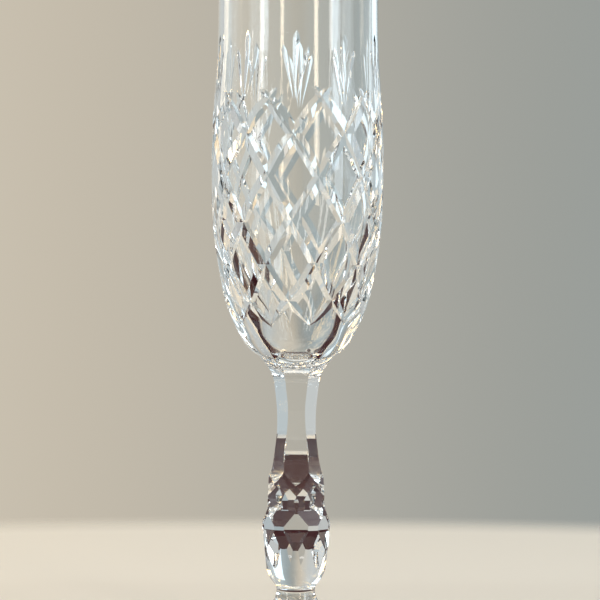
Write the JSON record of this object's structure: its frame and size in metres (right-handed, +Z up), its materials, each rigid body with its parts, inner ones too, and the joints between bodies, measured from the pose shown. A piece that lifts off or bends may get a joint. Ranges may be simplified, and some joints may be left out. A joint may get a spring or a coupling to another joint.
{
  "type": "champagne flute",
  "caption": "Cut crystal champagne flute: tall ovoid bowl with lattice and spear cuts, fluted six-sided stem, faceted knop and round foot.",
  "frame": {"origin": "centre of the foot's resting plane, the lowest point of the glass on its axis", "axes": "+Z up along the glass's axis from foot to rim; one flat of the six-sided stem faces -Y"},
  "size_m": [0.062, 0.062, 0.211],
  "materials": {
    "bowl_crystal": "clear lead crystal, fire-polished inside and at the rim, acid-polished mitre cuts outside",
    "stem_crystal": "clear lead crystal, six polished hollow flutes with crisp arrises",
    "knop_crystal": "clear lead crystal, polished flat facets above a fire-polished shoulder",
    "foot_crystal": "clear lead crystal, fire-polished, with a finely ground resting ring"
  },
  "bodies": {
    "root": {"bowl": "bowl_crystal", "stem_shaft": "stem_crystal", "stem_knop": "knop_crystal", "foot": "foot_crystal"}
  },
  "joints": []
}
